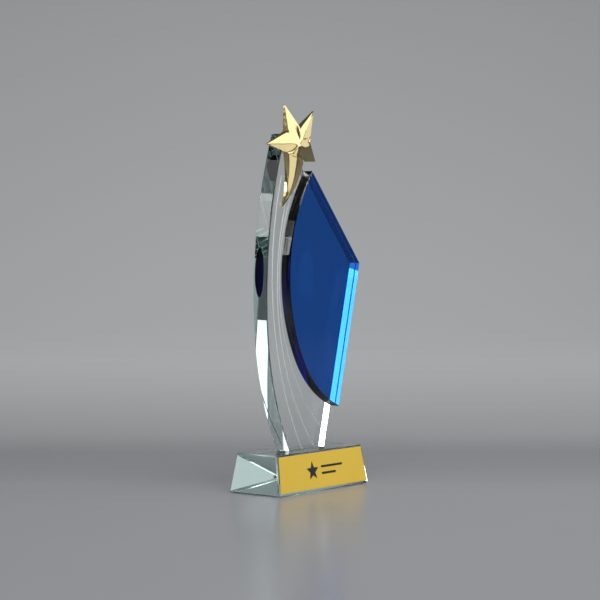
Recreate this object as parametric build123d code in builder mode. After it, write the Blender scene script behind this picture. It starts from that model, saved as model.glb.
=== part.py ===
"""A star trophy: a clear slab standing on a bevelled block, with a blue wing and a gold star bonded
to its front.

Millimetres. +X is to the right seen from the front, -Y is the front and +Z is up. The origin is the
middle of the block's underside.
"""

import os
from math import cos, hypot, radians, sin

from build123d import *

# Base block, with its name plate on the sloping front face
BASE_LENGTH = 101.0
BASE_DEPTH = 43.5
BASE_HEIGHT = 27.0
BASE_END_INSET = 2.75  # how far the top edge stands in from the bottom edge at each end
BASE_FACE_INSET = 4.4  # the same at the front and the back
BASE_BEVEL = 0.8

PLATE_THICKNESS = 0.5
PLATE_SIDE_MARGIN = 1.9
PLATE_TOP_MARGIN = 1.2
PLATE_BOTTOM_MARGIN = 1.8
PLATE_CORNER = 0.6
TAPE_THICKNESS = 0.1
TAPE_INSET = 0.5

INK_THICKNESS = 0.08
MARK_RADIUS = 6.8
MARK_WAIST = 2.9
MARK_OFFSET = -11.5  # from the plate's middle to the printed star's middle
RULE_LENGTHS = (24.0, 16.0)
RULE_WIDTH = 1.5
RULE_PITCH = 4.6
RULE_GAP = 2.8  # from the printed star to the start of the rules

# Clear panel. Outline points are (x, height above the top of the block)
PANEL_THICKNESS = 12.0
PANEL_FOOT_LEFT = -18.6
PANEL_FOOT_RIGHT = 19.8
PANEL_CORNER = (51.2, 127.9)
PANEL_TIP = (-24.3, 216.5)
PANEL_BEND = (-42.2, 76.7)  # where the long upper arc of the left edge meets the lower one
PANEL_UPPER_RADIUS = 320.0
PANEL_BEVEL = 0.6
BOND_THICKNESS = 0.1
BOND_INSET = 0.4

# Blue wing, flush with the panel's two straight edges
WING_THICKNESS = 7.4
WING_UPPER_RUN = 83.6  # along the upper edge, from the panel's corner
WING_LOWER_RUN = 102.6  # along the right edge, from the panel's corner
WING_BEND = (-14.2, 63.6)
WING_UPPER_RADIUS = 116.7
WING_BEVEL = 1.1  # along its straight front edges
WING_ARRIS = 0.5  # along its curved front edge

# Three grooves that sweep up the front of the panel, each by a low, a middle and a high point
GROOVE_WIDTH = 0.9
GROOVE_DEPTH = 0.4
GROOVES = (
    ((-4.6, -1.0), (-37.9, 120.0), (-27.8, 188.0)),
    ((10.2, -1.0), (-32.5, 114.0), (-17.3, 185.0)),
    ((24.0, 8.2), (-24.2, 76.0), (-13.2, 183.0)),
)

# Gold star: points are (x, z) from its centre. The tail is the long lower left point
STAR_CENTRE = (-17.2, 210.0)
STAR_TIPS = ((23.0, 22.9), (-8.8, 25.8), (-27.4, -1.1), (25.2, -11.8))
STAR_TAIL = (-11.4, -42.7)
STAR_NOTCHES = ((3.6, 10.3), (-9.5, 7.8), (-8.8, -7.3), (6.9, -12.3), (13.8, 1.5))
STAR_CENTRE_HEIGHT = 8.2
STAR_NOTCH_HEIGHT = 5.2
STAR_TIP_HEIGHT = 1.2
TAIL_RIDGE_HEIGHT = 6.6  # where the tail leaves the middle of the star
TAIL_SWEEP = 3.2  # how far the middle of the tail stands out from its straight line
TAIL_TIP_WIDTH = 0.5
TAIL_TIP_RIDGE = 1.5
TAIL_STATIONS = (0, 0.35, 0.7, 1)  # where its cross-section is set, as shares of its length

os.makedirs("parts", exist_ok=True)


def facing(y):
    """The plane at depth y, seen from the front: its own x and y are the object's X and Z."""
    return Plane(origin=(0, y, 0), x_dir=(1, 0, 0), z_dir=(0, -1, 0))


def towards(start, end, run):
    """The point at distance run from start on the way to end."""
    dx, dz = end[0] - start[0], end[1] - start[1]
    share = run / hypot(dx, dz)
    return (start[0] + dx * share, start[1] + dz * share)


def above_base(point):
    return (point[0], BASE_HEIGHT + BOND_THICKNESS + point[1])


def five_points(outer, inner):
    """The ten corners of a plain upright five-pointed star."""
    radii = (outer, inner) * 5
    angles = [radians(90 + 36 * step) for step in range(10)]
    return [(radius * cos(angle), radius * sin(angle)) for radius, angle in zip(radii, angles)]


# Depths of the bonded faces, from the panel forward
panel_back = PANEL_THICKNESS / 2
panel_front = -PANEL_THICKNESS / 2
bonded_front = panel_front - BOND_THICKNESS

panel_foot = BASE_HEIGHT + BOND_THICKNESS
foot_left = (PANEL_FOOT_LEFT, panel_foot)
foot_right = (PANEL_FOOT_RIGHT, panel_foot)
corner = above_base(PANEL_CORNER)
tip = above_base(PANEL_TIP)

# ---------------------------------------------------------------- base block
with BuildPart() as base_block:
    with BuildSketch(Plane.XY):
        Rectangle(BASE_LENGTH, BASE_DEPTH)
    with BuildSketch(Plane.XY.offset(BASE_HEIGHT)):
        Rectangle(BASE_LENGTH - 2 * BASE_END_INSET, BASE_DEPTH - 2 * BASE_FACE_INSET)
    loft()
    chamfer(base_block.edges(), length=BASE_BEVEL)
base_block.part.label = "base_block"
export_step(base_block.part, "parts/base_block.step")

# ---------------------------------------------------------------- clear panel
def panel_outline():
    """The panel's edge: two tangent arcs on the left, a flat foot and two straight edges."""
    upper = RadiusArc(tip, above_base(PANEL_BEND), -PANEL_UPPER_RADIUS)
    TangentArc(upper @ 1, foot_left, tangent=upper % 1)
    Polyline(foot_left, foot_right, corner, tip)


with BuildPart() as clear_panel:
    with BuildSketch(facing(panel_back)):
        with BuildLine():
            panel_outline()
        make_face()
    extrude(amount=PANEL_THICKNESS)
    rims = clear_panel.faces().filter_by(Axis.Y).edges()
    chamfer(rims.filter_by(lambda rim: rim.center().Z > panel_foot + PANEL_BEVEL), length=PANEL_BEVEL)
    with BuildSketch(facing(panel_front)):
        for low, middle, high in GROOVES:
            with BuildLine() as groove:
                ThreePointArc(above_base(low), above_base(middle), above_base(high))
            trace(groove.line, line_width=GROOVE_WIDTH)
    extrude(amount=-GROOVE_DEPTH, mode=Mode.SUBTRACT)
clear_panel.part.label = "clear_panel"
export_step(clear_panel.part, "parts/clear_panel.step")

with BuildPart() as foot_bond:
    with BuildSketch(Plane.XY.offset(BASE_HEIGHT)):
        foot_middle = (PANEL_FOOT_LEFT + PANEL_FOOT_RIGHT) / 2
        foot_length = PANEL_FOOT_RIGHT - PANEL_FOOT_LEFT
        with Locations((foot_middle, 0)):
            Rectangle(foot_length - 2 * BOND_INSET, PANEL_THICKNESS - 2 * BOND_INSET)
    extrude(amount=BOND_THICKNESS)
foot_bond.part.label = "foot_bond"
export_step(foot_bond.part, "parts/foot_bond.step")

# ---------------------------------------------------------------- blue wing
wing_top = towards(corner, tip, WING_UPPER_RUN)
wing_low = towards(corner, foot_right, WING_LOWER_RUN)


def wing_outline():
    """The wing's edge: two tangent arcs on the left and the panel's straight edges on the right."""
    upper = RadiusArc(wing_top, above_base(WING_BEND), -WING_UPPER_RADIUS)
    TangentArc(upper @ 1, wing_low, tangent=upper % 1)
    Polyline(wing_low, corner, wing_top)


with BuildPart() as blue_wing:
    with BuildSketch(facing(bonded_front)):
        with BuildLine():
            wing_outline()
        make_face()
    extrude(amount=WING_THICKNESS)
    front_rims = blue_wing.faces().sort_by(Axis.Y)[0].edges()
    chamfer(front_rims.filter_by(GeomType.CIRCLE), length=WING_ARRIS)
    front_rims = blue_wing.faces().sort_by(Axis.Y)[0].edges()
    chamfer(front_rims.filter_by(GeomType.LINE), length=WING_BEVEL)
blue_wing.part.label = "blue_wing"
export_step(blue_wing.part, "parts/blue_wing.step")

with BuildPart() as wing_bond:
    with BuildSketch(facing(panel_front)):
        with BuildLine():
            wing_outline()
        make_face()
        offset(amount=-BOND_INSET - PANEL_BEVEL)
    extrude(amount=BOND_THICKNESS)
wing_bond.part.label = "wing_bond"
export_step(wing_bond.part, "parts/wing_bond.step")

# ---------------------------------------------------------------- gold star
star_x, star_z = above_base(STAR_CENTRE)


def on_star(point, height=0.0):
    """A point of the star in space: (x, z) from its centre, and height forward of its flat back."""
    return (star_x + point[0], bonded_front - height, star_z + point[1])


def raised(point, height):
    return [on_star(point), on_star(point, height)]


heart = raised((0, 0), STAR_CENTRE_HEIGHT)
notches = [raised(notch, STAR_NOTCH_HEIGHT) for notch in STAR_NOTCHES]
right_top, left_top, left_low, right_low, right_side = notches
upper_right_tip, upper_left_tip, left_tip, right_tip = [raised(end, STAR_TIP_HEIGHT) for end in STAR_TIPS]

tail_left, tail_right = Vector(left_low[0]), Vector(right_low[0])
tail_width = (tail_right - tail_left).length
tail_root = (tail_left + tail_right) / 2
tail_tip = Vector(on_star(STAR_TAIL))
forward = Vector(0, -1, 0)
root_ridge = [tuple(tail_root), tuple(tail_root + forward * TAIL_RIDGE_HEIGHT)]

with BuildLine(facing(bonded_front)) as tail_spine:
    SagittaArc((tail_root.X, tail_root.Z), (tail_tip.X, tail_tip.Z), -TAIL_SWEEP)


def tail_section(share):
    """The tail's plane, width, wall height and ridge height at a share of the way to its tip."""
    along = tail_spine.line % share
    plane = Plane(origin=tail_spine.line @ share, x_dir=forward.cross(along), z_dir=along)
    if share == 0:
        along = (tail_right - tail_left).cross(forward)
        plane = Plane(origin=tail_root, x_dir=tail_right - tail_left, z_dir=along)
    left = 1 - share
    width = tail_width * left + TAIL_TIP_WIDTH * share
    wall = STAR_NOTCH_HEIGHT * left + STAR_TIP_HEIGHT * share
    ridge = TAIL_RIDGE_HEIGHT * left + TAIL_TIP_RIDGE * share
    return plane, width, wall, ridge


with BuildPart() as gold_star:
    ConvexPolyhedron([*heart, *right_side, *upper_right_tip, *right_top])
    ConvexPolyhedron([*heart, *right_top, *upper_left_tip, *left_top])
    ConvexPolyhedron([*heart, *left_top, *left_tip, *left_low])
    ConvexPolyhedron([*heart, *right_low, *right_tip, *right_side])
    ConvexPolyhedron([*heart, *left_low, *right_low, *root_ridge])
    for share in TAIL_STATIONS:
        plane, width, wall, ridge = tail_section(share)
        with BuildSketch(plane):
            with BuildLine():
                Polyline((-width / 2, 0), (width / 2, 0), (width / 2, wall), (0, ridge),
                         (-width / 2, wall), close=True)
            make_face()
    loft()
gold_star.part.label = "gold_star"
export_step(gold_star.part, "parts/gold_star.step")

# The star is glued wherever its flat back lies on the panel
with BuildPart() as star_bond:
    extrude(gold_star.faces().group_by(Axis.Y)[-1], amount=BOND_THICKNESS)
    with BuildSketch(facing(panel_front)):
        with BuildLine():
            panel_outline()
        make_face()
        offset(amount=-BOND_INSET - PANEL_BEVEL)
    extrude(amount=BOND_THICKNESS, mode=Mode.INTERSECT)
star_bond.part.label = "star_bond"
export_step(star_bond.part, "parts/star_bond.step")

# ---------------------------------------------------------------- name plate
slope_height = hypot(BASE_HEIGHT, BASE_FACE_INSET)


def on_slope(lift):
    """The base's sloping front face, or a plane lift above it. Its y runs up the slope."""
    outward = Vector(0, -BASE_HEIGHT, BASE_FACE_INSET).normalized()
    middle_of_edge = Vector(0, -BASE_DEPTH / 2, 0)
    return Plane(origin=middle_of_edge + outward * lift, x_dir=(1, 0, 0), z_dir=outward)


def half_length(height):
    """Half the sloping face's length at a height up the slope."""
    return BASE_LENGTH / 2 - BASE_END_INSET * height / slope_height


plate_low = PLATE_BOTTOM_MARGIN
plate_high = slope_height - PLATE_TOP_MARGIN


def plate_edge(inset):
    """The plate's outline, keeping its margins from the sloping face's own edges, less an inset."""
    low, high = plate_low + inset, plate_high - inset
    low_end = half_length(low) - PLATE_SIDE_MARGIN - inset
    high_end = half_length(high) - PLATE_SIDE_MARGIN - inset
    corners = [(-low_end, low), (low_end, low), (high_end, high), (-high_end, high)]
    FilletPolyline(*corners, radius=PLATE_CORNER, close=True)


with BuildPart() as plate_tape:
    with BuildSketch(on_slope(0)):
        with BuildLine():
            plate_edge(TAPE_INSET)
        make_face()
    extrude(amount=TAPE_THICKNESS)
plate_tape.part.label = "plate_tape"
export_step(plate_tape.part, "parts/plate_tape.step")

with BuildPart() as name_plate:
    with BuildSketch(on_slope(TAPE_THICKNESS)):
        with BuildLine():
            plate_edge(0)
        make_face()
    extrude(amount=PLATE_THICKNESS)
name_plate.part.label = "name_plate"
export_step(name_plate.part, "parts/name_plate.step")

# The printing is a plain star with two plain rules beside it
print_height = (plate_low + plate_high) / 2
print_face = on_slope(TAPE_THICKNESS + PLATE_THICKNESS)
with BuildPart() as printed_star:
    with BuildSketch(print_face):
        with Locations((MARK_OFFSET, print_height)):
            Polygon(*five_points(MARK_RADIUS, MARK_WAIST), align=None)
    extrude(amount=INK_THICKNESS)
printed_star.part.label = "printed_star"
export_step(printed_star.part, "parts/printed_star.step")

rules_start = MARK_OFFSET + MARK_RADIUS + RULE_GAP
with BuildPart() as printed_rules:
    with BuildSketch(print_face):
        for row, length in enumerate(RULE_LENGTHS):
            rule_height = print_height + (0.5 - row) * RULE_PITCH
            with Locations((rules_start + length / 2, rule_height)):
                SlotOverall(length, RULE_WIDTH)
    extrude(amount=INK_THICKNESS)
printed_rules.part.label = "printed_rules"
export_step(printed_rules.part, "parts/printed_rules.step")
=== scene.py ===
# %% [markdown]
# # A crystal star award
#
# The object is a free-standing award: a clear crystal slab on a bevelled block, with a blue crystal
# wing and a cast gold star glued to its front and a yellow plate on the block. Nothing moves, so
# the lesson is about glass: how its edges are cut, how glued faces let light through without
# bending it, and how deep colour comes from the body of the glass and not from its skin.
#
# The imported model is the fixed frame. Every piece below is made around it, in metres, with +Z up
# and the front towards -Y.

# %% Load the fixed frame
from math import atan2, cos, pi, radians, sin, sqrt

import bmesh
import bpy
from mathutils import Matrix, Vector


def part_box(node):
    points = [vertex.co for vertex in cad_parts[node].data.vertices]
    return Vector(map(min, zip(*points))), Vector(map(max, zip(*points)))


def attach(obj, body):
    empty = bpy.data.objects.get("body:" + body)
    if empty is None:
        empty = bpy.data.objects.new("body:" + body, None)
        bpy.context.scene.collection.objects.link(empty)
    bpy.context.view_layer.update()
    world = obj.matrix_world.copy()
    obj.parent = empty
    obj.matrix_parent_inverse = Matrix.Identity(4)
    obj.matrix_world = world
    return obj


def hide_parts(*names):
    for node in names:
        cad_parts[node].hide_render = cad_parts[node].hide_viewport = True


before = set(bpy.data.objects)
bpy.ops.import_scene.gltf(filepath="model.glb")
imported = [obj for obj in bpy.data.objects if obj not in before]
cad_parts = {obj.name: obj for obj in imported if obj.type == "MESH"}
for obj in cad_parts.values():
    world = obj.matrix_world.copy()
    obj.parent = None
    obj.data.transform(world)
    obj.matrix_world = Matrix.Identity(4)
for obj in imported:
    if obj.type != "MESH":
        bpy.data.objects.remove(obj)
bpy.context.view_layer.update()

MM = 0.001
print("nodes:", ", ".join(sorted(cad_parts)))

# %% [markdown]
# ## The camera
#
# A long lens keeps the award's upright edges nearly parallel. The camera stands a little above the
# middle of the award and well round to its left, and looks at the award's own upright axis, so its
# place follows from a bearing, a distance and two heights.

# %% Camera
CAMERA_BEARING = radians(51.8)  # round to the left from straight ahead
CAMERA_DISTANCE = 1.3811
CAMERA_HEIGHT = 0.1796
AIM_HEIGHT = 0.1299

LENS_LENGTH, SENSOR_WIDTH = 120.0, 36.0  # in millimetres

lens = bpy.data.cameras.new("long_lens")
lens.lens, lens.sensor_width = LENS_LENGTH, SENSOR_WIDTH
lens.clip_start, lens.clip_end = 0.01, 50.0
camera = bpy.data.objects.new("camera", lens)
bpy.context.collection.objects.link(camera)
towards_camera = Vector((-sin(CAMERA_BEARING), -cos(CAMERA_BEARING), 0.0))
camera.location = towards_camera * CAMERA_DISTANCE + Vector((0, 0, CAMERA_HEIGHT))
sight = Vector((0, 0, AIM_HEIGHT)) - camera.location
camera.rotation_euler = sight.to_track_quat("-Z", "Y").to_euler()
bpy.context.scene.camera = camera
print("camera at", [round(value, 3) for value in camera.location])

# %% [markdown]
# ## Writing shader maths as Python
#
# A node tree is easier to read as an expression. `Wire` wraps a socket and turns arithmetic on it
# into Math nodes, so `1 - mask` works. `Finish` makes a material and adds any other node from its
# type, its settings and its sockets.

# %% A socket that does arithmetic
class Wire:
    """One output socket of a node tree. Arithmetic on it adds Math nodes."""

    def __init__(self, finish, socket):
        self.finish, self.socket = finish, socket

    def _math(self, operation, first, second, clamp=False):
        settings = {"operation": operation, "use_clamp": clamp}
        return self.finish.add("ShaderNodeMath", settings, {0: first, 1: second})

    def __add__(self, other):
        return self._math("ADD", self, other)

    def __sub__(self, other):
        return self._math("SUBTRACT", self, other)

    def __rsub__(self, other):
        return self._math("SUBTRACT", other, self)

    def __mul__(self, other):
        return self._math("MULTIPLY", self, other)

    def __truediv__(self, other):
        return self._math("DIVIDE", self, other)

    def __pow__(self, other):
        return self._math("POWER", self, other)

    def above(self, level):
        return self._math("GREATER_THAN", self, level)

    def clamped(self):
        return self._math("ADD", self, 0.0, clamp=True)

    __radd__, __rmul__ = __add__, __mul__


class Finish:
    """A material under construction, with the few nodes that every finish here needs."""

    def __init__(self, name):
        self.material = bpy.data.materials.new(name)
        self.material.use_nodes = True
        self.tree = self.material.node_tree
        self.tree.nodes.clear()
        self.output = self.tree.nodes.new("ShaderNodeOutputMaterial")
        self.place = self.add("ShaderNodeTexCoord", {}, {}, "Object")

    def add(self, kind, settings, sockets, out=0):
        """Adds a node: its settings first, then numbers, colours or wires into its sockets."""
        node = self.tree.nodes.new(kind)
        for name, value in settings.items():
            setattr(node, name, value)
        for key, value in sockets.items():
            if isinstance(value, Wire):
                self.tree.links.new(value.socket, node.inputs[key])
            else:
                node.inputs[key].default_value = value
        return Wire(self, node.outputs[out])

    def noise(self, scale, detail=2.0, stretch=(1.0, 1.0, 1.0)):
        """Cloudy noise between 0 and 1. scale counts features per metre."""
        mapped = self.add("ShaderNodeMapping", {}, {"Vector": self.place, "Scale": stretch})
        sockets = {"Vector": mapped, "Scale": scale, "Detail": detail}
        return self.add("ShaderNodeTexNoise", {}, sockets)

    def mix(self, factor, first, second):
        """A blend of two colours."""
        settings = {"data_type": "RGBA"}
        return self.add("ShaderNodeMix", settings, {0: factor, 6: first, 7: second}, 2)

    def bump(self, height, strength, distance):
        sockets = {"Height": height, "Strength": strength, "Distance": distance}
        return self.add("ShaderNodeBump", {}, sockets)

    def between(self, factor, first, second):
        """A shader that is the first where factor is 0 and the second where it is 1."""
        return self.add("ShaderNodeMixShader", {}, {0: factor, 1: first, 2: second})

    def principled(self, **sockets):
        named = {name.replace("_", " "): value for name, value in sockets.items()}
        return self.add("ShaderNodeBsdfPrincipled", {}, named)

    def mask(self, name):
        """A number that each face of the mesh carries under this name."""
        return self.add("ShaderNodeAttribute", {"attribute_name": name}, {}, "Fac")

    def along(self, direction):
        """How far a point lies along a direction from the origin."""
        settings = {"operation": "DOT_PRODUCT"}
        return self.add("ShaderNodeVectorMath", settings, {0: self.place, 1: direction}, "Value")

    def done(self, surface, volume=None):
        self.tree.links.new(surface.socket, self.output.inputs["Surface"])
        if volume:
            self.tree.links.new(volume.socket, self.output.inputs["Volume"])
        print("finish:", self.material.name, len(self.tree.nodes), "nodes")
        return self.material


# %% [markdown]
# ## Crystal
#
# Optical crystal is polished flat, so what shows is what it bends and mirrors inside, and a long
# way through it takes a green tint. A surface colour can't do that, so the tint is an absorption in
# the body, and the surface is clear with a refractive index of 1.52.
#
# Where two pieces are glued, the adhesive has the same index as the glass, so light goes straight
# across and no mirror forms. Those faces carry the number `bonded`, and there the surface is plain
# see-through. Under the wing the adhesive wets both faces in one oval dab only, on faces that carry
# `dabbed`, and the slab's left edge shows that dab as a blue patch. Cut grooves carry the number
# `frosted`, and scatter light as ground glass does. All three are parts of one material, because a
# ray has to leave a glass body through the same material by which it came in.

# %% The dab of adhesive under the wing
DAB_MIDDLE = Vector((-0.006, 0, 0.148))
DAB_HALF_WIDTH, DAB_HALF_HEIGHT = 0.0085, 0.0165
DAB_WAVES, DAB_WAVE_DEPTH = 60.0, 0.5  # waves per metre, and how deep they cut into the oval
DAB_SPREAD = 1.0 + DAB_WAVE_DEPTH / 2  # the average wave is half as deep, and brings it back to 1


def inside_dab(finish):
    """1 inside the wavy oval where adhesive wets both slab and wing, and 0 outside it."""
    across = (finish.along(Vector((1, 0, 0))) - DAB_MIDDLE.x) / DAB_HALF_WIDTH
    upward = (finish.along(Vector((0, 0, 1))) - DAB_MIDDLE.z) / DAB_HALF_HEIGHT
    wave = finish.noise(DAB_WAVES, 1.0) * DAB_WAVE_DEPTH
    return (DAB_SPREAD - across * across - upward * upward - wave).above(0.0)


# %% Crystal finish
CRYSTAL_INDEX = 1.52
POLISH_HAZE = 0.05  # roughness where the polish is poorest
FROST, FROST_GRAIN = 0.5, 0.3  # roughness of ground glass, and how much it varies


def crystal(name, body_colour, body_density):
    """Polished crystal whose body takes up light, with faces that are bonded or frosted."""
    finish = Finish(name)
    frosted = finish.mask("frosted")
    smears = finish.noise(35.0, 3.0, (1.0, 1.0, 0.5))
    grain = finish.noise(9000.0, 2.0)
    polish = (smears - 0.55).clamped() * POLISH_HAZE
    glass = finish.principled(
        Base_Color=finish.mix(frosted, (1.0, 1.0, 1.0, 1.0), (0.94, 0.97, 0.97, 1.0)),
        IOR=CRYSTAL_INDEX, Transmission_Weight=1.0,
        Roughness=polish + frosted * (FROST + grain * FROST_GRAIN),
        Normal=finish.bump(grain * frosted, 0.4, 0.00005),
    )
    through = finish.add("ShaderNodeBsdfTransparent", {}, {"Color": (1.0, 1.0, 1.0, 1.0)})
    wetted = finish.mask("dabbed") * inside_dab(finish)
    surface = finish.between((finish.mask("bonded") + wetted).clamped(), glass, through)
    body = {"Color": (*body_colour, 1.0), "Density": body_density}
    return finish.done(surface, finish.add("ShaderNodeVolumeAbsorption", {}, body))


clear_crystal = crystal("clear_crystal", (0.0, 0.68, 0.54), 3.2)
blue_crystal = crystal("blue_crystal", (0.0, 0.515, 0.885), 450.0)

# %% [markdown]
# ## Gold, plate, ink, tape and adhesive
#
# The star is a zinc casting, polished by hand and plated with pale gold. Hand polish is never
# quite even: the metal's roughness wanders a little and its flats ripple. The plate is coated
# aluminium, matt enough to spread light, with a fine grain in its coating.

# %% Gold plating
def gold_plating():
    finish = Finish("gold_plating")
    clouds = finish.noise(60.0, 3.0)
    ripple = finish.noise(220.0, 2.0)
    return finish.done(finish.principled(
        Base_Color=finish.mix(clouds, (0.84, 0.675, 0.32, 1.0), (0.89, 0.735, 0.38, 1.0)),
        Metallic=1.0, Roughness=0.06 + clouds * 0.08,
        Normal=finish.bump(ripple, 0.12, 0.0006),
    ))


# %% Yellow coating and black ink
def plate_coating():
    finish = Finish("yellow_coating")
    grain = finish.noise(2600.0, 3.0)
    clouds = finish.noise(28.0, 2.0)
    return finish.done(finish.principled(
        Base_Color=finish.mix(clouds, (0.80, 0.535, 0.052, 1.0), (0.86, 0.585, 0.068, 1.0)),
        Roughness=0.38 + grain * 0.14, Normal=finish.bump(grain, 0.25, 0.00003),
        Coat_Weight=0.15, Coat_Roughness=0.3,
    ))


def plate_ink():
    finish = Finish("black_ink")
    grain = finish.noise(3400.0, 2.0)
    return finish.done(finish.principled(
        Base_Color=finish.mix(grain, (0.008, 0.008, 0.008, 1.0), (0.03, 0.03, 0.03, 1.0)),
        Roughness=0.35 + grain * 0.2, Normal=finish.bump(grain, 0.3, 0.00002),
    ))


# %% Tape, adhesive and glass dust
def tape_paper():
    finish = Finish("tape_paper")
    fibres = finish.noise(900.0, 4.0, (0.3, 1.0, 1.0))
    return finish.done(finish.principled(
        Base_Color=finish.mix(fibres, (0.62, 0.58, 0.47, 1.0), (0.75, 0.72, 0.62, 1.0)),
        Roughness=0.6 + fibres * 0.2,
    ))


def cured_adhesive():
    finish = Finish("cured_adhesive")
    specks = finish.noise(1400.0, 2.0)
    film = finish.principled(
        Base_Color=(0.9, 0.92, 0.9, 1.0), Roughness=0.2 + specks * 0.2,
        Alpha=(specks - 0.6).clamped() * 0.15,
    )
    return finish.done(film)


def ground_white():
    """Glass dust, white and a little see-through, as a grinding wheel leaves it."""
    finish = Finish("ground_white")
    grain = finish.noise(2400.0, 3.0)
    return finish.done(finish.principled(
        Base_Color=finish.mix(grain, (0.82, 0.86, 0.86, 1.0), (0.95, 0.97, 0.97, 1.0)),
        Roughness=0.7 + grain * 0.2, Normal=finish.bump(grain, 0.4, 0.00003),
        Alpha=0.55 + grain * 0.4,
    ))


# %% Make them
gold = gold_plating()
yellow_coating = plate_coating()
black_ink = plate_ink()
ground_glass = ground_white()
paper_tape = tape_paper()
adhesive = cured_adhesive()

# %% [markdown]
# ## From a bmesh to a piece
#
# Each piece starts as a few vertices in a bmesh and ends as an object at the origin that rides on
# the award's one body. Cut crystal has flat facets and long smooth curves, so edges sharper than
# twenty degrees stay sharp and shallower ones are smoothed.

# %% Turning a bmesh into a piece
SHARP_EDGE = radians(20.0)
WELD = 1e-7  # vertices closer than this are one
SAME_WAY = 0.999  # faces whose normals agree by more than this face the same way


def new_mesh(bm, name):
    """Welds a bmesh, points its faces outwards and turns it into a mesh."""
    bmesh.ops.remove_doubles(bm, verts=bm.verts, dist=WELD)
    bmesh.ops.recalc_face_normals(bm, faces=bm.faces)
    open_edges = sum(len(edge.link_faces) != 2 for edge in bm.edges)
    mesh = bpy.data.meshes.new(name)
    bm.to_mesh(mesh)
    bm.free()
    mesh.polygons.foreach_set("use_smooth", [True] * len(mesh.polygons))
    mesh.set_sharp_from_angle(angle=SHARP_EDGE)
    print(name, len(mesh.polygons), "faces,", open_edges, "open edges")
    return mesh


def piece(mesh, material, node):
    """Shows a mesh in place of a CAD node."""
    made = bpy.data.objects.new(mesh.name, mesh)
    bpy.context.collection.objects.link(made)
    mesh.materials.clear()
    mesh.materials.append(material)
    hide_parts(node)
    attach(made, "root")
    return made


def glass_bmesh():
    """An empty bmesh whose faces carry the three numbers that the crystal finish reads."""
    bm = bmesh.new()
    for name in ("bonded", "dabbed", "frosted"):
        bm.faces.layers.float.new(name)
    return bm


def mark_faces(bm, name, faces, number=1.0):
    """Gives faces a number under one of those three names."""
    layer = bm.faces.layers.float[name]
    for face in faces:
        face[layer] = number


# %% [markdown]
# ## Drawing outlines with arcs
#
# The slab and the wing are flat shapes whose left edge is two arcs that run into each other without
# a corner. Spinning a single vertex about the arc's centre draws the arc as a chain of short
# edges. The lower arc's centre lies on the line from the meeting point to the upper centre, so
# its radius isn't chosen: it follows from the point where the arc has to end.

# %% Arcs as chains of vertices
ARC_STEP = radians(0.9)


def spin_arc(bm, start, centre, end):
    """Spins a vertex about a centre until it reaches the point end. Returns the new vertices."""
    spoke, last = start.co - centre, end - centre
    angle = atan2(spoke.cross(last).y, spoke.dot(last))
    made = len(bm.verts)
    steps = max(2, round(abs(angle) / ARC_STEP))
    bmesh.ops.spin(bm, geom=[start], cent=centre, axis=(0, 1, 0), angle=angle, steps=steps)
    bm.verts.ensure_lookup_table()
    return bm.verts[made:]


def bulging_centre(top, low, radius):
    """The centre of an arc from top down to low that bulges to the left."""
    chord = low - top
    right = Vector((-chord.z, 0, chord.x)).normalized()
    return (top + low) / 2 + right * sqrt(radius ** 2 - chord.length_squared / 4)


def double_arc(bm, top, bend, low, radius):
    """A chain from the vertex top through bend to low, in two arcs that share a tangent at bend."""
    centre = bulging_centre(top.co, bend, radius)
    upper = spin_arc(bm, top, centre, bend)
    inward = (centre - bend).normalized()
    drop = low - bend
    lower_radius = drop.length_squared / (2 * drop.dot(inward))
    lower = spin_arc(bm, upper[-1], bend + inward * lower_radius, low)
    print("arcs of", round(radius / MM, 1), "and", round(lower_radius / MM, 1), "mm")
    return [top, *upper, *lower]


# %% [markdown]
# ## The sizes that the frame gives
#
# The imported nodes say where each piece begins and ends. What a box can't tell, such as where an arc
# bends, is given here in millimetres, with heights from the slab's foot.

# %% Sizes from the frame
slab_low, slab_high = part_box("clear_panel")
wing_low, wing_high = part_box("blue_wing")
star_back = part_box("gold_star")[1].y
block_low, block_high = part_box("base_block")
foot = slab_low.z

SLAB_FOOT_LEFT, SLAB_FOOT_RIGHT = -18.6, 19.8
SLAB_TIP_X = -24.3
SLAB_BEND = (-42.2, 76.7)
SLAB_UPPER_RADIUS = 320.0
CORNER_HEIGHT = 127.9  # of the slab's right-hand corner
WING_UPPER_RUN = 83.6  # from that corner along each straight edge
WING_LOWER_RUN = 102.6
WING_BEND = (-14.2, 63.6)
WING_UPPER_RADIUS = 116.7


def over_foot(x, height):
    """A point from its x and its height above the slab's foot, both in millimetres."""
    return Vector((x * MM, 0, height * MM)) + Vector((0, 0, foot))


tip_point = Vector((SLAB_TIP_X * MM, 0, slab_high.z))
corner_point = Vector((wing_high.x, 0, foot + CORNER_HEIGHT * MM))
foot_left, foot_right = over_foot(SLAB_FOOT_LEFT, 0), over_foot(SLAB_FOOT_RIGHT, 0)
wing_top = corner_point + (tip_point - corner_point).normalized() * WING_UPPER_RUN * MM
wing_foot = corner_point + (foot_right - corner_point).normalized() * WING_LOWER_RUN * MM
print("slab foot at", round(foot / MM, 2), "mm, wing from", round(wing_low.z / MM, 1))

# %% [markdown]
# ## The clear slab
#
# The real slab is sawn from 12 mm plate, its edge ground to the drawing, and a small flat bevel
# ground round both faces. It could be a curve with a bevel of its own, but a bmesh lets each face
# keep the numbers that the crystal finish reads. The outline is filled as two faces that meet along
# the wing's curved edge. Extruding both together gives the thickness, and a bevel of one segment
# gives the ground facets.

# %% Slab body
SLAB_BEVEL = 0.6 * MM
SATIN = 0.5  # ground facets are half way from polished to frosted


def is_rim(edge):
    """Whether an edge lies between a front or back face and a side wall."""
    facing = sorted(abs(face.normal.y) for face in edge.link_faces)
    return len(facing) == 2 and facing[0] < 0.5 < facing[1]


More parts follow.
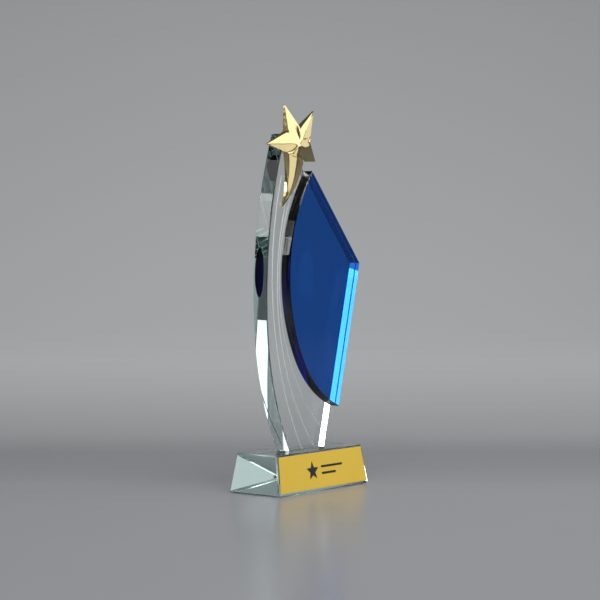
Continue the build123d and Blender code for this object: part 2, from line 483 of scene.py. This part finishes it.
def rim_edges(bm, low):
    """The rim edges whose middles lie above a height."""
    above = [edge for edge in bm.edges if sum(vert.co.z for vert in edge.verts) / 2 > low]
    return [edge for edge in above if is_rim(edge)]


def thicken(bm, faces, offset):
    """Extrudes faces by an offset, keeps the faces they start from, and returns the new ones."""
    made = bmesh.ops.extrude_face_region(bm, geom=faces, use_keep_orig=True)["geom"]
    verts = [item for item in made if isinstance(item, bmesh.types.BMVert)]
    bmesh.ops.translate(bm, verts=verts, vec=offset)
    return [item for item in made if isinstance(item, bmesh.types.BMFace)]


bm = glass_bmesh()
tip = bm.verts.new(tip_point)
left_edge = double_arc(bm, tip, over_foot(*SLAB_BEND), foot_left, SLAB_UPPER_RADIUS * MM)
top_join = bm.verts.new(wing_top)
seam = double_arc(bm, top_join, over_foot(*WING_BEND), wing_foot, WING_UPPER_RADIUS * MM)
right_foot, right_corner = bm.verts.new(foot_right), bm.verts.new(corner_point)
open_face = bm.faces.new([*left_edge, right_foot, *reversed(seam)])
covered_face = bm.faces.new([*seam, right_corner])
bmesh.ops.translate(bm, verts=bm.verts, vec=(0, slab_high.y, 0))
fronts = thicken(bm, [open_face, covered_face], Vector((0, slab_low.y - slab_high.y, 0)))
bm.normal_update()
under_foot = [face for face in bm.faces if all(abs(vert.co.z - foot) < MM / 1000 for vert in face.verts)]
mark_faces(bm, "bonded", under_foot)
mark_faces(bm, "dabbed", fronts)
bmesh.ops.recalc_face_normals(bm, faces=bm.faces)
facets = bmesh.ops.bevel(
    bm, geom=rim_edges(bm, foot + SLAB_BEVEL), offset=SLAB_BEVEL, segments=1, profile=0.5,
    affect="EDGES", material=-1, clamp_overlap=True,
)["faces"]
mark_faces(bm, "frosted", facets, SATIN)
slab_mesh = new_mesh(bm, "slab")

# %% [markdown]
# ## Three grooves up the slab
#
# A round-edged wheel cuts each groove along an arc, and leaves the glass white. Here the wheel's
# round section is spun along the groove's arc, with its middle a little in front of the glass, and
# the bar it makes is taken away from the slab with a Boolean. The bar's faces carry `frosted`, and
# the cut keeps that number.

# %% Groove cutters
GROOVES = (
    ((-4.6, -1.0), (-37.9, 120.0), (-27.8, 188.0)),
    ((10.2, -1.0), (-32.5, 114.0), (-17.3, 185.0)),
    ((24.0, 8.2), (-24.2, 76.0), (-13.2, 183.0)),
)
CUTTER_RADIUS = 0.5
CUTTER_SIDES = 14
CUTTER_STAND_OFF = 0.1  # how far the cutter's middle stands in front of the glass


def circle_centre(first, second, third):
    """The centre of the circle through three points of the XZ plane."""
    p, q = second - first, third - first
    turn = 2 * (p.x * q.z - p.z * q.x)
    along_x = (q.z * p.length_squared - p.z * q.length_squared) / turn
    along_z = (p.x * q.length_squared - q.x * p.length_squared) / turn
    return first + Vector((along_x, 0, along_z))


def groove_cutter(bm, low, middle, high):
    """A round bar along the arc through three points, all in millimetres."""
    depth = Vector((0, slab_low.y - CUTTER_STAND_OFF * MM, 0))
    low, middle, high = [over_foot(*point) for point in (low, middle, high)]
    centre = circle_centre(low, middle, high)
    spoke, last = low - centre, high - centre
    angle = atan2(spoke.cross(last).y, spoke.dot(last))
    facing = spoke.cross(Vector((0, 1, 0))).to_track_quat("Z", "Y").to_matrix().to_4x4()
    bar = bmesh.ops.create_circle(
        bm, segments=CUTTER_SIDES, radius=CUTTER_RADIUS * MM, cap_ends=True,
        matrix=Matrix.Translation(low + depth) @ facing,
    )["verts"]
    face = bar[0].link_faces[0]
    bmesh.ops.spin(
        bm, geom=[face, *face.edges, *face.verts], cent=centre + depth, axis=(0, 1, 0),
        angle=angle, steps=round(abs(angle) / ARC_STEP) * 2,
    )


bm = glass_bmesh()
for groove in GROOVES:
    groove_cutter(bm, *groove)
mark_faces(bm, "frosted", bm.faces)
cutter = bpy.data.objects.new("groove_cutter", new_mesh(bm, "groove_cutter"))
bpy.context.collection.objects.link(cutter)

# %% Cut the grooves and show the slab
slab = piece(slab_mesh, clear_crystal, "clear_panel")
cut = slab.modifiers.new("grooves", "BOOLEAN")
cut.operation, cut.solver, cut.object = "DIFFERENCE", "EXACT", cutter
cut_slab = slab.evaluated_get(bpy.context.evaluated_depsgraph_get())
slab.data = bpy.data.meshes.new_from_object(cut_slab)
slab.modifiers.clear()
slab.data.name = "slab"
slab.data.set_sharp_from_angle(angle=SHARP_EDGE)
bpy.data.objects.remove(cutter)
marked = sum(value.value > 0.5 for value in slab.data.attributes["frosted"].data)
print("slab faces:", len(slab.data.polygons), "of them frosted:", marked)

# %% [markdown]
# ## Glass dust in the grooves
#
# Some of the glass that the wheel grinds off stays in the groove as white dust. It is a skin of its
# own over the cut faces: a copy of the slab with every other face deleted, lifted a little and
# given a thickness with Solidify.

# %% Dust
DUST_THICKNESS = 0.03 * MM

bm = bmesh.new()
bm.from_mesh(slab.data)
frosting = bm.faces.layers.float["frosted"]
bare = [face for face in bm.faces if face[frosting] <= SATIN]
bmesh.ops.delete(bm, geom=bare, context="FACES")
for vert in bm.verts:
    vert.co += vert.normal * DUST_THICKNESS / 4
bmesh.ops.solidify(bm, geom=bm.faces[:], thickness=-DUST_THICKNESS)
dust = piece(new_mesh(bm, "groove_dust"), ground_glass, "clear_panel")

# %% [markdown]
# ## The blue wing
#
# The wing is cut from blue crystal so deep that its edge looks black where light has a long way
# through it. It has the slab's two straight edges and its own curved one. Its back lies on the
# adhesive film. The straight front edges carry a wide bevel and the curved one a narrow one, so
# they are bevelled one after the other.

# %% Wing
WING_BEVEL = 1.1 * MM
WING_ARRIS = 0.5 * MM
STRAIGHT_RUN = 20 * MM  # only the straight edges are longer than this

bm = glass_bmesh()
top = bm.verts.new(wing_top)
curve = double_arc(bm, top, over_foot(*WING_BEND), wing_foot, WING_UPPER_RADIUS * MM)
back = bm.faces.new([*curve, bm.verts.new(corner_point)])
bmesh.ops.translate(bm, verts=bm.verts, vec=(0, wing_high.y, 0))
front = thicken(bm, [back], Vector((0, wing_low.y - wing_high.y, 0)))[0]
bmesh.ops.recalc_face_normals(bm, faces=bm.faces)
mark_faces(bm, "dabbed", [face for face in bm.faces if face.normal.y > SAME_WAY])
straight = [edge for edge in front.edges if edge.calc_length() > STRAIGHT_RUN]
bmesh.ops.bevel(
    bm, geom=[edge for edge in front.edges if edge not in straight], offset=WING_ARRIS,
    segments=1, profile=0.5, affect="EDGES", material=-1, clamp_overlap=True,
)
bm.normal_update()
front = min(bm.faces, key=lambda face: face.calc_center_median().y)
straight = [edge for edge in front.edges if edge.calc_length() > STRAIGHT_RUN]
bmesh.ops.bevel(
    bm, geom=straight, offset=WING_BEVEL, segments=1, profile=0.5, affect="EDGES", material=-1,
    clamp_overlap=True,
)
wing = piece(new_mesh(bm, "wing"), blue_crystal, "blue_wing")

# %% [markdown]
# ## The gold star
#
# The star is a casting with a flat back, and each arm is two facets that meet in a ridge. Its long
# lower arm sweeps like a comet's tail. The front starts as a fan of triangles around the star's
# heart. The tail grows from the edge between the two lower notches, one station at a time. The rim
# is then pulled back to the flat back. Hand polish rounds the ridges, so the front is divided
# finely and its inside smoothed, while the outline stays where the mould put it.

# %% Star sizes
STAR_CENTRE = (-17.2, 210.0)
STAR_TIPS = ((23.0, 22.9), (-8.8, 25.8), (-27.4, -1.1), (25.2, -11.8))
STAR_TAIL = (-11.4, -42.7)
STAR_NOTCHES = ((3.6, 10.3), (-9.5, 7.8), (-8.8, -7.3), (6.9, -12.3), (13.8, 1.5))
HEART_RISE, NOTCH_RISE, TIP_RISE = 8.2, 5.2, 1.2
TAIL_RISE, TAIL_TIP_RISE = 6.6, 1.5
TAIL_SWEEP = 3.2
TAIL_STEPS = 10
TAIL_SQUARE_FROM = 0.35  # the share of the tail from which its sections stand square to it
TAIL_TIP_WIDTH = 0.5


def on_star(point, rise):
    """A point of the star: x and z from its centre, and how far it stands in front of its back."""
    x, z = STAR_CENTRE[0] + point[0], STAR_CENTRE[1] + point[1]
    return over_foot(x, z) + Vector((0, star_back - rise * MM, 0))


# %% Fan of facets around the heart
right_top, left_top, left_low, right_low, right_side = STAR_NOTCHES
upper_right, upper_left, left, right = STAR_TIPS
tail_left, tail_right = Vector(left_low), Vector(right_low)
rim_points = [
    (right_side, NOTCH_RISE), (upper_right, TIP_RISE), (right_top, NOTCH_RISE),
    (upper_left, TIP_RISE), (left_top, NOTCH_RISE), (left, TIP_RISE), (left_low, NOTCH_RISE),
    ((tail_left + tail_right) / 2, TAIL_RISE), (right_low, NOTCH_RISE), (right, TIP_RISE),
]
bm = bmesh.new()
front = bm.faces.new([bm.verts.new(on_star(point, rise)) for point, rise in rim_points])
heart = bmesh.ops.poke(bm, faces=[front])["verts"][0]
heart.co = on_star((0, 0), HEART_RISE)
print("facets around the heart:", len(bm.faces))

# %% Tail, station by station
tail_root, tail_tip = (tail_left + tail_right) / 2, Vector(STAR_TAIL)
tail_line = tail_tip - tail_root
aside = Vector((-tail_line.y, tail_line.x)).normalized()
half_root = (tail_right - tail_left) / 2


def tail_station(share):
    """The left, ridge and right points at a share of the way down the tail, with their rises."""
    middle = tail_root + tail_line * share + aside * TAIL_SWEEP * 4 * share * (1 - share)
    heading = (tail_line + aside * TAIL_SWEEP * 4 * (1 - 2 * share)).normalized()
    across = Vector((-heading.y, heading.x)) * half_root.length
    square_on = min(1.0, share / TAIL_SQUARE_FROM)
    taper = 1 - share + share * TAIL_TIP_WIDTH / 2 / half_root.length
    half = half_root.lerp(across, square_on) * taper
    wall = NOTCH_RISE + (TIP_RISE - NOTCH_RISE) * share
    ridge = TAIL_RISE + (TAIL_TIP_RISE - TAIL_RISE) * share
    return [(middle - half, wall), (middle, ridge), (middle + half, wall)]


bm.verts.ensure_lookup_table()
strip = bm.verts[6:9]  # the two lower notches and the ridge between them
for step in range(1, TAIL_STEPS + 1):
    edges = [edge for edge in bm.edges if edge.is_boundary and set(edge.verts) <= set(strip)]
    grown = bmesh.ops.extrude_edge_only(bm, edges=edges)["geom"]
    ends = [item for item in grown if isinstance(item, bmesh.types.BMVert)]
    neighbours = [[edge.other_vert(vert) for edge in vert.link_edges] for vert in strip]
    strip = [next(vert for vert in near if vert in ends) for near in neighbours]
    for vert, (point, rise) in zip(strip, tail_station(step / TAIL_STEPS)):
        vert.co = on_star(point, rise)
print("facets with the tail:", len(bm.faces))

# %% Divide, soften the ridges, and close the walls and the back
RIDGE_CUTS = 7
SOFTENING_ROUNDS = 5

bmesh.ops.triangulate(bm, faces=[face for face in bm.faces if len(face.verts) > 4])
bmesh.ops.subdivide_edges(bm, edges=bm.edges, cuts=RIDGE_CUTS, use_grid_fill=True)
inner = [vert for vert in bm.verts if not vert.is_boundary]
for softening in range(SOFTENING_ROUNDS):
    bmesh.ops.smooth_vert(bm, verts=inner, factor=0.5, use_axis_y=True)
boundary = [edge for edge in bm.edges if edge.is_boundary]
walls = bmesh.ops.extrude_edge_only(bm, edges=boundary)["geom"]
for item in walls:
    if isinstance(item, bmesh.types.BMVert):
        item.co.y = star_back
bmesh.ops.holes_fill(bm, edges=[edge for edge in bm.edges if edge.is_boundary])
star = piece(new_mesh(bm, "star"), gold, "gold_star")

# %% [markdown]
# ## The block
#
# The block is a clear cuboid whose four sides lean in, with a ground facet along every edge. The
# slab stands on its top and the plate's tape covers most of its front, and under both the glass is
# bonded. A scored line round each of those patches keeps them apart from the bare glass.

# %% Block
BLOCK_END_INSET, BLOCK_FACE_INSET = 2.75 * MM, 4.4 * MM
BLOCK_BEVEL = 0.8 * MM
BLOCK_DEPTH = 43.5 * MM
slope = atan2(BLOCK_FACE_INSET, block_high.z)


def score(bm, facing, start, end):
    """Scores a straight line across the faces that face one way, through two points on them."""
    bm.normal_update()
    flat = [face for face in bm.faces if face.normal.dot(facing) > SAME_WAY]
    geometry = {item for face in flat for item in (face, *face.edges, *face.verts)}
    bmesh.ops.bisect_plane(
        bm, geom=list(geometry), dist=WELD, plane_co=start, plane_no=(end - start).cross(facing),
    )


def score_round(bm, facing, corners):
    """Scores a closed outline and returns the face inside it."""
    for start, end in zip(corners, corners[1:] + corners[:1]):
        score(bm, facing, start, end)
    bm.normal_update()
    middle = sum(corners, Vector()) / len(corners)
    flat = [face for face in bm.faces if face.normal.dot(facing) > SAME_WAY]
    return min(flat, key=lambda face: (face.calc_center_median() - middle).length)


bm = glass_bmesh()
size = Vector((block_high.x - block_low.x, BLOCK_DEPTH, block_high.z))
place = Matrix.Translation((0, 0, size.z / 2)) @ Matrix.Diagonal((*size, 1))
bmesh.ops.create_cube(bm, size=1.0, matrix=place)
lid = [vert for vert in bm.verts if vert.co.z > size.z / 2]
shrink = (1 - 2 * BLOCK_END_INSET / size.x, 1 - 2 * BLOCK_FACE_INSET / size.y, 1)
bmesh.ops.scale(bm, verts=lid, vec=shrink)
facets = bmesh.ops.bevel(
    bm, geom=bm.edges[:], offset=BLOCK_BEVEL, segments=1, profile=0.5, affect="EDGES", material=-1,
)["faces"]
mark_faces(bm, "frosted", facets, SATIN)

# %% Score the block where it is bonded, and show it
PLATE_SIDE_MARGIN, PLATE_TOP_MARGIN, PLATE_BOTTOM_MARGIN = 1.9 * MM, 1.2 * MM, 1.8 * MM
TAPE_INSET = 0.5 * MM
front_out = Vector((0, -cos(slope), sin(slope)))
up_slope = Vector((0, sin(slope), cos(slope)))
slope_length = block_high.z / cos(slope)


def on_plate_face(x, height, lift=0.0):
    """A point at a height up the block's front slope, lifted off it."""
    return Vector((x, -BLOCK_DEPTH / 2, 0)) + up_slope * height + front_out * lift


def plate_corners(inset, lift=0.0):
    """The plate's four corners, counterclockwise from the low left, moved in by an inset."""
    corners = []
    for side, height in ((-1, 0), (1, 0), (1, 1), (-1, 1)):
        level = slope_length - PLATE_TOP_MARGIN - inset if height else PLATE_BOTTOM_MARGIN + inset
        end = size.x / 2 - BLOCK_END_INSET * level / slope_length - PLATE_SIDE_MARGIN - inset
        corners.append(on_plate_face(side * end, level, lift))
    return corners


patch_low = Vector((foot_left.x, slab_low.y, block_high.z))
patch_high = Vector((foot_right.x, slab_high.y, block_high.z))
foot_corners = [
    patch_low, Vector((patch_high.x, patch_low.y, block_high.z)), patch_high,
    Vector((patch_low.x, patch_high.y, block_high.z)),
]
mark_faces(bm, "bonded", [score_round(bm, Vector((0, 0, 1)), foot_corners)])
mark_faces(bm, "bonded", [score_round(bm, front_out, plate_corners(TAPE_INSET))])
block = piece(new_mesh(bm, "block"), clear_crystal, "base_block")

# %% [markdown]
# ## The plate, its tape and its printing
#
# The plate is sheet aluminium, blanked with small round corners and stuck on with double-sided
# tape. Its outline is four corners, rounded by a vertex bevel and thickened along the slope. The
# printing stands a little proud: a star, made from a circle of ten points with every other one
# pulled in, and two plain rules, each a circle pulled apart into a slot.

# %% Sheets that lie on the slope
CORNER_SEGMENTS = 6


def sheet_on_slope(name, corners, radius, thickness, edge):
    """A sheet with round corners that lies on the slope, its front edge rounded a little."""
    bm = bmesh.new()
    face = bm.faces.new([bm.verts.new(corner) for corner in corners])
    bmesh.ops.bevel(
        bm, geom=face.verts[:], offset=radius, segments=CORNER_SEGMENTS, profile=0.5,
        affect="VERTICES", material=-1,
    )
    front = thicken(bm, bm.faces[:], front_out * thickness)[0]
    bmesh.ops.recalc_face_normals(bm, faces=bm.faces)
    bmesh.ops.bevel(
        bm, geom=front.edges[:], offset=edge, segments=2, profile=0.5, affect="EDGES", material=-1,
    )
    return new_mesh(bm, name)


PLATE_CORNER, PLATE_EDGE = 0.6 * MM, 0.08 * MM
TAPE_THICKNESS, PLATE_THICKNESS, INK_THICKNESS = 0.1 * MM, 0.5 * MM, 0.08 * MM
AIR = 0.01 * MM  # kept between glued faces, so that no two faces lie in one plane

tape_mesh = sheet_on_slope(
    "tape", plate_corners(TAPE_INSET, AIR), PLATE_CORNER, TAPE_THICKNESS - 2 * AIR, AIR,
)
tape = piece(tape_mesh, paper_tape, "plate_tape")
plate_mesh = sheet_on_slope(
    "plate", plate_corners(0.0, TAPE_THICKNESS), PLATE_CORNER, PLATE_THICKNESS, PLATE_EDGE,
)
plate = piece(plate_mesh, yellow_coating, "name_plate")

# %% Printed star
MARK_RADIUS, MARK_WAIST, MARK_OFFSET = 6.8 * MM, 2.9 * MM, -11.5 * MM
RULE_LENGTHS = (24.0 * MM, 16.0 * MM)
RULE_WIDTH, RULE_PITCH, RULE_GAP = 1.5 * MM, 4.6 * MM, 2.8 * MM
STAR_POINTS, DISC_POINTS = 10, 32
print_height = (PLATE_BOTTOM_MARGIN + slope_length - PLATE_TOP_MARGIN) / 2
print_lift = TAPE_THICKNESS + PLATE_THICKNESS
lie_on_slope = Matrix((Vector((1, 0, 0)), up_slope, front_out)).transposed().to_4x4()


def printed_disc(bm, x, height, radius, points):
    """A flat disc of ink, its first point straight up the slope."""
    place = Matrix.Translation(on_plate_face(x, height, print_lift)) @ lie_on_slope
    made = bmesh.ops.create_circle(bm, segments=points, radius=radius, cap_ends=True, matrix=place)
    return made["verts"]


bm = bmesh.new()
points = printed_disc(bm, MARK_OFFSET, print_height, MARK_RADIUS, STAR_POINTS)
middle = on_plate_face(MARK_OFFSET, print_height, print_lift)
top_point = max(points, key=lambda vert: vert.co.z)
first = points.index(top_point)
for step, vert in enumerate(points):
    if (step - first) % 2:
        vert.co = middle + (vert.co - middle) * MARK_WAIST / MARK_RADIUS
thicken(bm, bm.faces[:], front_out * INK_THICKNESS)
mark = piece(new_mesh(bm, "printed_mark"), black_ink, "printed_star")

# %% Rules
bm = bmesh.new()
for row, length in enumerate(RULE_LENGTHS):
    start = MARK_OFFSET + MARK_RADIUS + RULE_GAP + RULE_WIDTH / 2
    height = print_height + (0.5 - row) * RULE_PITCH
    disc = printed_disc(bm, start, height, RULE_WIDTH / 2, DISC_POINTS)
    far_half = [vert for vert in disc if vert.co.x > start + AIR]
    bmesh.ops.translate(bm, verts=far_half, vec=(length - RULE_WIDTH, 0, 0))
thicken(bm, bm.faces[:], front_out * INK_THICKNESS)
rules = piece(new_mesh(bm, "rules"), black_ink, "printed_rules")

# %% [markdown]
# ## Adhesive films
#
# Between bonded faces lies a tenth of a millimetre of clear adhesive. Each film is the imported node's
# own shape, a little thinner, so that it touches neither piece.

# %% Films
def film(node, axis):
    """A copy of a bond's shape, thinned along one axis."""
    bm = bmesh.new()
    bm.from_mesh(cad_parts[node].data)
    low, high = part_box(node)
    middle = (low + high) / 2
    thin = Vector((1, 1, 1))
    thin[axis] = 1 - 2 * AIR / (high - low)[axis]
    bmesh.ops.translate(bm, verts=bm.verts, vec=-middle)
    bmesh.ops.scale(bm, verts=bm.verts, vec=thin)
    bmesh.ops.translate(bm, verts=bm.verts, vec=middle)
    return piece(new_mesh(bm, node + "_film"), adhesive, node)


ALONG_Y, ALONG_Z = 1, 2
films = [film("foot_bond", ALONG_Z), film("wing_bond", ALONG_Y), film("star_bond", ALONG_Y)]

# %% [markdown]
# ## Studio
#
# The award stands on a round table of grey acrylic, whose rim turns up into a wall, so
# it can be photographed from any side. Its far half carries a painted glow, an emission that
# stands in for light as in a product studio, and that painted glow is what the clear glass shows;
# a band of painted shade lies where the glow begins. Near the award only the soft boxes light it.
# Spinning one profile round the award draws floor, bend and wall together.

# %% Acrylic
TABLE_RADIUS, BEND_RADIUS, WALL_HEIGHT = 2.0, 0.5, 2.4
# The glow is painted: an emission in the table behind the award that stands in for light.
GLOW_START, GLOW_RUN, PAINTED_GLOW_RADIANCE = 0.22, 1.3, 0.29  # behind the award
GLOW_HALF_WIDTH = 2.0
FADE_HEIGHT, FADE = 2.0, 0.85  # how much of the glow is gone at a height up the wall
# A band of painted shade: the table's colour is darker where the painted glow begins.
SHADE_REACH, SHADE_HALF_RUN, PAINTED_SHADE = 0.19, 0.173, 0.6  # the dimmer band where the glow begins
away = -towards_camera
sideways = away.cross(Vector((0, 0, 1)))


def acrylic():
    """Grey acrylic, wiped glossy near the award and matt further behind it, with a painted glow there
    and a band of painted shade where that glow begins.
    """
    finish = Finish("table_acrylic")
    reach, aside = finish.along(away), finish.along(sideways)
    height = finish.along(Vector((0, 0, 1)))
    far = ((reach - GLOW_START) / GLOW_RUN).clamped()
    middle = (1.0 - (aside / GLOW_HALF_WIDTH) ** 2.0).clamped()
    fade = 1.0 - (height / FADE_HEIGHT).clamped() * FADE
    # painted glow, brightest far behind the award, fading up the wall and towards the sides
    painted_glow = far * (2.0 - far) * fade * middle * PAINTED_GLOW_RADIANCE
    # painted shade, a darker band painted into the base colour
    painted_shade = (1.0 - ((reach - SHADE_REACH) / SHADE_HALF_RUN) ** 2.0).clamped() * PAINTED_SHADE
    mottle = finish.noise(4.0, 4.0)
    grey = finish.mix(mottle, (0.232, 0.237, 0.25, 1.0), (0.248, 0.253, 0.264, 1.0))
    return finish.done(finish.principled(
        Base_Color=finish.mix(painted_shade, grey, (0.16, 0.165, 0.178, 1.0)),
        Roughness=0.26 + far * 0.6, Specular_IOR_Level=0.4,
        Emission_Color=finish.mix(painted_glow, (0.0, 0.0, 0.0, 1.0), (0.97, 1.0, 1.0, 1.0)),
        Emission_Strength=1.0,
    ))


# %% Round table and wall
FLOOR_GAP = 0.3 * MM  # air under the block, as under any hard thing on a hard floor
BEND_STEPS, ROUND_STEPS = 16, 96

bm = bmesh.new()
hub, start = bm.verts.new((0, 0, 0)), bm.verts.new((TABLE_RADIUS, 0, 0))
bm.edges.new((hub, start))
bmesh.ops.spin(
    bm, geom=[start], cent=(TABLE_RADIUS, 0, BEND_RADIUS), axis=(0, -1, 0), angle=pi / 2,
    steps=BEND_STEPS,
)
bm.verts.ensure_lookup_table()
bend_top = bm.verts[-1]
brink = bm.verts.new(bend_top.co + Vector((0, 0, WALL_HEIGHT)))
bm.edges.new((bend_top, brink))
bmesh.ops.spin(
    bm, geom=[*bm.edges, *bm.verts], cent=(0, 0, 0), axis=(0, 0, 1), angle=2 * pi,
    steps=ROUND_STEPS, use_merge=True,
)
bmesh.ops.translate(bm, verts=bm.verts, vec=(0, 0, -FLOOR_GAP))
table = bpy.data.objects.new("table", new_mesh(bm, "table"))
table.data.materials.append(acrylic())
bpy.context.collection.objects.link(table)

# %% [markdown]
# ## Soft boxes
#
# Every polished face is a mirror for one direction, so each light stands where a face needs it.
# The right front box gives the star's front its cream, the right card lights its far arms, and the
# low card shows in those of its facets that mirror what is near the floor. The far front box lights
# the lower left edge of the slab from inside, low enough to stay out of the wing's face, and the
# card over it the block's end. The left lamp is far and small: it fills the right-hand edges of
# wing and slab by light that goes right through them, and the left box shows in the wall of the
# star's tail. The overhead box lights the table and the plate.

# %% Soft boxes
BOX_AIM = Vector((0, 0, 0.14))  # the award's middle, which every light faces


def towards(bearing, elevation):
    """The direction from the award at a bearing, turned left from +X, and an elevation."""
    turn, lift = radians(bearing), radians(elevation)
    return Vector((cos(turn) * cos(lift), sin(turn) * cos(lift), sin(lift)))


def soft_box(name, bearing, elevation, distance, size, radiance):
    """A soft box of a width and height in metres, as bright as radiance says when looked at."""
    light = bpy.data.lights.new(name, "AREA")
    light.shape, (light.size, light.size_y) = "RECTANGLE", size
    light.energy = radiance * pi * size[0] * size[1]
    box = bpy.data.objects.new(name, light)
    bpy.context.collection.objects.link(box)
    box.location = BOX_AIM + towards(bearing, elevation) * distance
    box.visible_camera = False
    box.rotation_euler = (BOX_AIM - box.location).to_track_quat("-Z", "Y").to_euler()
    return box


SOFT_BOXES = (  # name, bearing, elevation, distance, size and radiance
    ("right_front_box", -54, 24.7, 0.6, (0.54, 0.33), 1.4),
    ("right_card", -15, 13.4, 0.82, (0.2, 0.14), 0.85),
    ("far_front_box", -40, 10.5, 2.04, (0.5, 0.24), 1.3),
    ("far_card", -40, 15.6, 2.1, (0.5, 0.12), 0.6),
    ("low_card", -64, -5, 0.8, (0.22, 0.2), 0.8),
    ("left_lamp", 139, 16.4, 2.1, (0.3, 0.36), 6.5),
    ("left_box", 137, 26.5, 0.86, (0.35, 0.15), 1.3),
    ("overhead_box", -125, 58, 1.5, (1.6, 1.2), 5.0),
)
for settings in SOFT_BOXES:
    soft_box(*settings)
print("soft boxes:", len(SOFT_BOXES))

# %% [markdown]
# ## The dim room
#
# What no lamp reaches is a dim bluish room, which keeps the gold's turned facets dark. A ray can
# bounce many times inside a slab before it leaves, so the renderer is allowed enough bounces.

# %% Room and bounces
ROOM_COLOUR, ROOM_RADIANCE = (0.9, 0.95, 1.0, 1.0), 0.12
GLASS_BOUNCES, MIRROR_BOUNCES = 24, 12

world = bpy.data.worlds.new("room")
world.use_nodes = True
room = world.node_tree.nodes["Background"]
room.inputs["Color"].default_value = ROOM_COLOUR
room.inputs["Strength"].default_value = ROOM_RADIANCE
scene = bpy.context.scene
scene.world = world
scene.view_settings.view_transform = "Standard"
scene.cycles.max_bounces = GLASS_BOUNCES
scene.cycles.transmission_bounces = GLASS_BOUNCES
scene.cycles.transparent_max_bounces = GLASS_BOUNCES
scene.cycles.glossy_bounces = MIRROR_BOUNCES
print("bounces:", GLASS_BOUNCES)
